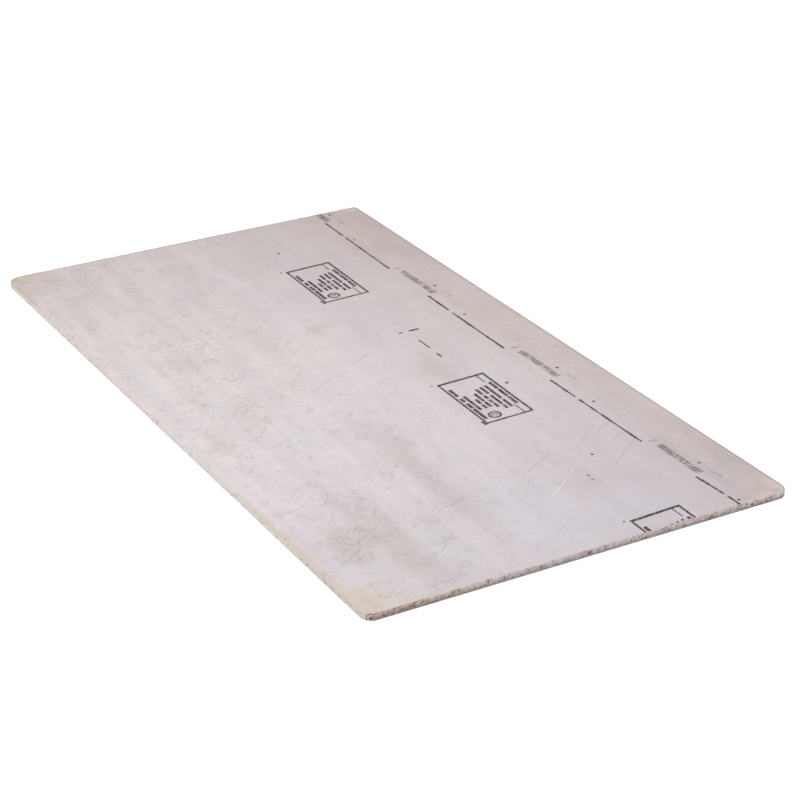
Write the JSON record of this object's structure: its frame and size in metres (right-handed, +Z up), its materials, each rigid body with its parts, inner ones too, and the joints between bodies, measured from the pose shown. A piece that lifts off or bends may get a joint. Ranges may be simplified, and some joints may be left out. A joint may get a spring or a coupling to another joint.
{
  "type": "cement board",
  "caption": "Flat rectangular cement backer board with two rounded formed long edges, two sawn ends, worn corners and a faint mesh face; a rigid base for tile.",
  "frame": {"origin": "middle of the underside of the board, on the floor it lies on", "axes": "+X across the width between the two formed edges, +Y along the length between the two sawn ends, +Z up through the thickness towards the printed face"},
  "size_m": [0.8128, 1.524, 0.0127],
  "materials": {
    "cement": "dry matt cast cement with a fine embedded glass mesh, faint dark ink marks and raw porous ends"
  },
  "bodies": {
    "root": {"cement_board": "cement"}
  },
  "joints": []
}
